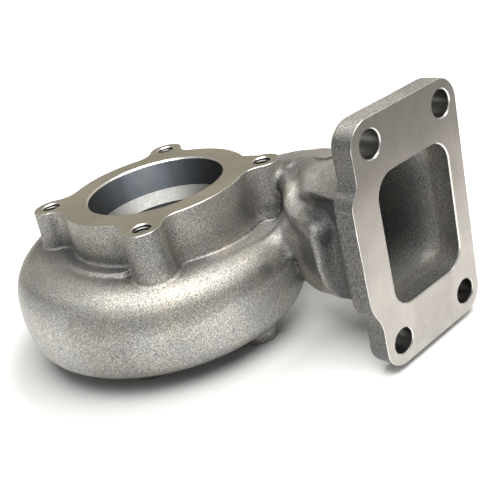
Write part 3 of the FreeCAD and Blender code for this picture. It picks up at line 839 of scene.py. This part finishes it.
def port_points(grow, n=12):
    w, h, r = PORT_W / 2 + grow, PORT_H / 2 + grow, PORT_R + grow
    cy, cz = PORT_C
    return np.array(arc(cy + w - r, cz - h + r, r, -90, 0, n) + arc(cy + w - r, cz + h - r, r, 0, 90, n)
                    + arc(cy - w + r, cz + h - r, r, 90, 180, n) + arc(cy - w + r, cz - h + r, r, 180, 270, n))


def plug(name, layers, mats, idx):
    verts, faces, ids = [], [], []
    n = len(layers[0][0])
    for pts, xx in layers:
        verts += [(xx, u, v) for u, v in pts]
    for k in range(len(layers) - 1):
        for i in range(n):
            j = (i + 1) % n
            faces.append((k * n + i, k * n + j, (k + 1) * n + j, (k + 1) * n + i))
            ids.append(idx)
    faces.append(tuple(range(n)))
    faces.append(tuple(range((len(layers) - 1) * n, len(layers) * n)))
    ids += [idx, idx]
    return add(name, new_mesh(name, np.array(verts) * MM, faces, mats, ids))


cutters.append(plug("cut_port_edge", [(port_points(-0.4), INLET_X - 0.9), (port_points(0.8), INLET_X + 0.3)], MATS, EDGE))

for c in cutters:
    outward(c)
    c.hide_render = True
    mod = rough_ob.modifiers.new(c.name, "BOOLEAN")
    mod.operation = "DIFFERENCE"
    mod.object = c
    mod.solver = "MANIFOLD"
final_me = solid_mesh(rough_ob)
print("casting", len(rough_me.polygons), "->", len(final_me.polygons), "faces")
final_me.name = "turbine_casting"
casting = add("turbine_casting", final_me)
bpy.data.objects.remove(rough_ob)
for c in cutters:
    bpy.data.objects.remove(c)
final_me.shade_smooth()
final_me.set_sharp_from_angle(angle=math.radians(32))
nv, nl = len(final_me.vertices), len(final_me.loops)
co = np.empty(nv * 3)
final_me.vertices.foreach_get("co", co)
co = co.reshape(-1, 3) / MM
vi = np.empty(nl, np.int32)
final_me.loops.foreach_get("vertex_index", vi)
cn = np.empty(nl * 3)
final_me.corner_normals.foreach_get("vector", cn)
cn = cn.reshape(-1, 3)
slot_of = np.empty(len(final_me.polygons), np.int32)
final_me.polygons.foreach_get("material_index", slot_of)
total = np.empty(len(final_me.polygons), np.int32)
final_me.polygons.foreach_get("loop_total", total)
skin_loop = np.repeat(slot_of == CAST, total)
used = np.zeros(nv, bool)
used[vi[skin_loop]] = True
where = np.flatnonzero(used)
grad = np.zeros((nv, 3))
for a in range(3):
    e = 0.25 * np.eye(3)[a]
    grad[where, a] = chunked(co[where] + e) - chunked(co[where] - e)
grad /= np.linalg.norm(grad, axis=1)[:, None] + 1e-9
mine = grad[vi]
# how open the surface is to the room, 0 in a closed-in corner and 1 in the open: painted shade in the skin's tone,
# darker where the surface is closed in
painted_light_and_shade = np.ones(nv)
side_a = np.cross(grad[where], (0.31, 0.17, 0.93))
side_a /= np.linalg.norm(side_a, axis=1)[:, None] + 1e-9
side_b = np.cross(grad[where], side_a)
seen, total = np.zeros(len(where)), 0.0
for lean, turns, weight in ((0.0, 1, 0.8), (0.75, 5, 1.0)):
    for i in range(turns):
        a = 2 * math.pi * (i + 0.3) / turns
        way = grad[where] * math.cos(lean) + (side_a * math.cos(a) + side_b * math.sin(a)) * math.sin(lean)
        clear = np.ones(len(where))
        for reach in (2.6, 7.5, 19.0):
            clear = np.minimum(clear, np.clip(chunked(co[where] + way * reach) / (reach * 0.5 * math.cos(lean)), 0, 1))
        seen += weight * clear
        total += weight
seen /= total
# inside the duct the tone is painted: painted shade near the port's mouth, lighter further in and on the walls that
# face -Y by the port; the near side of the neck and of the plate gets painted shade
inside = np.abs(passages(*co[where].T)) < 0.6
seen = np.where(inside, 0.9, seen)
px, py, pz = co[where].T
ny, nz = grad[where, 1], grad[where, 2]
nx = grad[where, 0]
# painted shade, place by place: the plate's near side, the neck's wall above the floor, the hollow, the crease by the
# rib, the upward-facing tops, the ring under the scroll's highlight, the front lobe, the right lobe's root and the
# ledge above the hollow are darkened where shade falls
plate_side_painted_shade = 0.55 * smooth(118.2, 118.8, px) * smooth(0.6, 0.95, -ny)
neck_wall_painted_shade = 0.66 * smooth(94, 98.5, px) * smooth(118.8, 118.2, px) * smooth(0.2, 0.5, -ny) * smooth(16, 24, pz) * smooth(73, 71, pz)
hollow = 0.60 * smooth(84, 90, px) * smooth(118.8, 118.2, px) * smooth(0.45, 0.25, nz) * smooth(57.5, 60.5, pz) * smooth(73, 71, pz) * smooth(30, 25, py)
valley_painted_shade = 0.56 * smooth(68, 78, px) * smooth(98, 94, px) * smooth(0.35, 0.0, nx) * smooth(0.4, 0.8, -ny) * smooth(58, 54, pz) * smooth(30, 38, pz)
crown_painted_shade = 0.24 * smooth(0.80, 0.96, nz) * (pz > 30) * np.maximum(smooth(40, 20, px), smooth(34, 40, py))
lower_right_painted_light = (0.15 * smooth(0.5, 0.75, nx) + 0.09 * smooth(0.86, 0.97, nx)) * smooth(0.30, 0.10, nz) * smooth(82, 70, px) * smooth(54, 42, pz) * (pz > 3)
left_flank_painted_light = 0.19 * smooth(0.5, 0.25, nx) * smooth(0.6, 0.85, -ny) * smooth(54, 48, pz) * (pz > 3) * smooth(45, 30, px)
band_painted_shade = 0.26 * smooth(0.08, 0.2, nz) * smooth(0.60, 0.42, nz) * smooth(28, 31, pz) * smooth(46, 43, pz) * smooth(80, 70, px) * smooth(0.98, 0.90, nx) * smooth(0.25, 0.5, nx)
shoulder_painted_light = smooth(0.45, 0.75, nz) * smooth(34, 42, px) * smooth(74, 64, px) * smooth(-16, -8, py) * smooth(36, 28, py) * smooth(34, 37, pz) * smooth(53, 50, pz)
flank_painted_light = smooth(0.45, 0.65, nx) * smooth(36, 40, px) * smooth(54, 50, px) * smooth(16, 22, py) * smooth(50, 52, pz)
front_lobe_painted_shade = 0.28 * smooth(34, 38, px) * smooth(-30, -34, py) * smooth(48, 53, pz) * smooth(0.3, 0.2, np.abs(nz))
spot_painted_shade = 0.40 * smooth(9, 3, np.sqrt((px - 50) ** 2 + (py - 39) ** 2 + (pz - 63) ** 2)) * smooth(0.5, 0.8, nz)
step = 0.42 * smooth(81, 89, px) * smooth(118.8, 118.2, px) * smooth(55.5, 57.5, pz) * smooth(66, 63, pz) * smooth(0.35, 0.6, nz)
gap_painted_light = smooth(53, 58, px) * smooth(84, 76, px) * smooth(2, 8, py) * smooth(32, 26, py) * smooth(12, 20, pz) * smooth(52, 46, pz)
trail_painted_highlight = smooth(56, 60, px) * smooth(81, 75, px) * smooth(46, 49, pz) * smooth(64, 62, pz) * smooth(37, 33, py) * smooth(0.2, 0.5, nz)
slope = 0.20 * smooth(62, 72, px) * smooth(104, 96, px) * smooth(0.55, 0.65, nz) * smooth(0.88, 0.78, nz) * smooth(-0.2, -0.45, nx)
# painted highlights and painted light: the scroll's upper side by the right lobe, that lobe's side, the saddle below
# the rib, the rib's upper run, the lower right and left sides of the scroll and the neck's top slope are lifted or
# brightened where light falls
seen = seen + np.maximum(1.0 - 0.36 * smooth(49, 56, px) - seen, 0) * 0.9 * shoulder_painted_light
seen = seen + np.maximum(0.78 - seen, 0) * flank_painted_light
seen = seen + np.maximum(1.12 - seen, 0) * gap_painted_light * (1 - shoulder_painted_light)
seen = seen + np.maximum(1.22 - seen, 0) * trail_painted_highlight
painted_light_gain = lower_right_painted_light + left_flank_painted_light + slope
seen = (seen + np.maximum(1.0 - seen, 0) * np.clip(painted_light_gain / 0.12, 0, 1)) * (1 + painted_light_gain)
duct = 0.50 + 0.75 * smooth(126, 112, px) + 0.32 * smooth(0.5, 0.9, -ny) * smooth(124, 117, px)
painted_shade = (1 - plate_side_painted_shade) * (1 - np.maximum(neck_wall_painted_shade, hollow)) * (1 - valley_painted_shade) * (1 - crown_painted_shade) * (1 - band_painted_shade) * (1 - front_lobe_painted_shade) * (1 - spot_painted_shade) * (1 - step)
painted_light_and_shade[where] = 0.8 * np.minimum(np.where(inside, duct, seen * painted_shade), 1.3)
att = final_me.attributes.new("painted_light_and_shade", "FLOAT", "POINT")
att.data.foreach_set("value", painted_light_and_shade.astype(np.float32))
agree = (mine * cn).sum(1) > 0.75
pick = skin_loop & agree
cn[pick] = mine[pick]
final_me.normals_split_custom_set(cn.tolist())
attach(casting, "root")
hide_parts("turbine_housing")


# ---------------------------------------------------------------- threads
def thread(name, cx, cy, z0, z1, r_wall, r_crest, pitch, segs=40):
    turns = (z1 - z0) / pitch
    n = int(turns * segs)
    verts, faces = [], []
    for i in range(n + 1):
        a = 2 * math.pi * i / segs
        zc = z0 + pitch * i / segs
        fade = min(1.0, i / (segs * 0.6), (n - i) / (segs * 0.6))
        rc = r_wall + 0.05 + (r_crest - r_wall - 0.05) * max(fade, 0.02)
        for rr, dz in ((r_wall + 0.12, -0.5), (rc, -0.08), (rc, 0.08), (r_wall + 0.12, 0.5)):
            verts.append((cx + rr * math.cos(a), cy + rr * math.sin(a), zc + dz * pitch * 0.92))
    for i in range(n):
        for k in range(4):
            j = (k + 1) % 4
            faces.append((i * 4 + k, i * 4 + j, (i + 1) * 4 + j, (i + 1) * 4 + k))
    faces.append((0, 3, 2, 1))
    faces.append((n * 4, n * 4 + 1, n * 4 + 2, n * 4 + 3))
    me = new_mesh(name, np.array(verts) * MM, faces, [MATS[HOLE]])
    o = add(name, me)
    outward(o)
    return o


for k in range(4):
    a = math.radians(LOBE_A0 + 90 * k)
    o = thread("outlet_thread_%d" % (k + 1), LOBE_AT * math.cos(a), LOBE_AT * math.sin(a), 57.6, 69.0, 4.25, 3.75, 1.25)
    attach(o, "root")

# ---------------------------------------------------------------- stage
floor_me = new_mesh("floor", [(-12, -12, 0), (12, -12, 0), (12, 12, 0), (-12, 12, 0)], [(0, 1, 2, 3)], [])
floor = add("floor", floor_me)
fm, nt, bs, tc = mat_nodes("pale_floor")
fc = ramp(nt, noise(nt, tc.outputs["Object"], 2.0, 2.0), [(0.3, (0.90, 0.90, 0.895)), (0.7, (0.92, 0.92, 0.915))])
bs.inputs["Roughness"].default_value = 0.8


def away(cx, cy):
    """Distance on the floor from a point."""
    v = nt.nodes.new("ShaderNodeVectorMath")
    v.operation = "DISTANCE"
    nt.links.new(tc.outputs["Object"], v.inputs[0])
    v.inputs[1].default_value = (cx, cy, 0)
    return v.outputs["Value"]


# painted shadow on the floor close in front of the scroll, and a painted pool of warm light that glows under the neck
soft = ramp(nt, math_node(nt, "MULTIPLY", away(0.004, -0.012), 5.0), [(0.40, 0.54), (0.64, 1.0)])
nt.links.new(mix_rgb(nt, 1.0, fc, soft, "MULTIPLY"), bs.inputs["Base Color"])
glow = ramp(nt, math_node(nt, "MULTIPLY", away(0, 0), 0.5), [(0.15, 0.0), (0.55, 0.8)])
painted_light_pool = ramp(nt, math_node(nt, "MULTIPLY", away(0.056, 0.046), 20.0), [(0.2, 0.34), (0.8, 0.0)])
bs.inputs["Emission Color"].default_value = (1.0, 0.985, 0.95, 1)
nt.links.new(math_node(nt, "ADD", glow, painted_light_pool), bs.inputs["Emission Strength"])
floor_me.materials.append(fm)

scene = bpy.context.scene
scene.view_settings.view_transform = "Standard"
scene.view_settings.look = "None"
scene.view_settings.exposure = 0.0

world = bpy.data.worlds.new("studio")
scene.world = world
world.use_nodes = True
wn = world.node_tree
wn.nodes.clear()
wo = wn.nodes.new("ShaderNodeOutputWorld")
bg = wn.nodes.new("ShaderNodeBackground")
wn.links.new(bg.outputs[0], wo.inputs[0])
wt = wn.nodes.new("ShaderNodeTexCoord")
wsep = wn.nodes.new("ShaderNodeSeparateXYZ")
wn.links.new(wt.outputs["Generated"], wsep.inputs[0])
# towards the back left the room is warm and lighter, towards the front right cool and darker
side = math_node(wn, "ADD", math_node(wn, "MULTIPLY", wsep.outputs[0], -0.40), math_node(wn, "MULTIPLY", wsep.outputs[1], 0.30))
side = math_node(wn, "ADD", side, 0.5)
low = ramp(wn, side, [(0.10, (0.26, 0.28, 0.31)), (0.55, (0.34, 0.335, 0.32)), (0.95, (0.40, 0.37, 0.31))])
right = math_node(wn, "ADD", math_node(wn, "MULTIPLY", wsep.outputs[0], 0.55), math_node(wn, "MULTIPLY", wsep.outputs[1], 0.80))
low = mix_rgb(wn, 1.0, low, ramp(wn, right, [(0.1, (1.0, 1.0, 1.0)), (0.9, (2.2, 2.18, 2.1))]), "MULTIPLY")
up = ramp(wn, wsep.outputs[2], [(0.62, 0.0), (0.88, 1.0)])
sky = mix_rgb(wn, up, low, (0.8, 0.8, 0.8))
wn.links.new(sky, bg.inputs[0])
bg.inputs[1].default_value = 1.0


def area(name, at, to, size, power, color, size_y=None):
    l = bpy.data.lights.new(name, "AREA")
    l.energy = power
    l.color = color
    l.size = size
    if size_y:
        l.shape = "RECTANGLE"
        l.size_y = size_y
    o = bpy.data.objects.new(name, l)
    o.location = at
    o.rotation_euler = (Vector(to) - Vector(at)).to_track_quat("-Z", "Y").to_euler()
    scene.collection.objects.link(o)
    return o


area("key", (0.22, -0.03, 0.80), (0.0, 0.0, 0.03), 0.80, 14.5, (1.0, 0.99, 0.97))

cam = bpy.data.cameras.new("camera")
cam.sensor_width = 36.0
cam.lens = 788.15 / 500.0 * 36.0
cam.clip_start = 0.01
cam.clip_end = 50.0
co = bpy.data.objects.new("camera", cam)
fwd = Vector((-0.7332, 0.5360, -0.4185)).normalized()
upv = Vector((-0.1794, 0.4411, 0.8793))
upv = (upv - fwd * upv.dot(fwd)).normalized()
rgt = fwd.cross(upv).normalized()
co.matrix_world = Matrix(((rgt.x, upv.x, -fwd.x, 0.31046), (rgt.y, upv.y, -fwd.y, -0.18241), (rgt.z, upv.z, -fwd.z, 0.18904), (0, 0, 0, 1)))
scene.collection.objects.link(co)
scene.camera = co
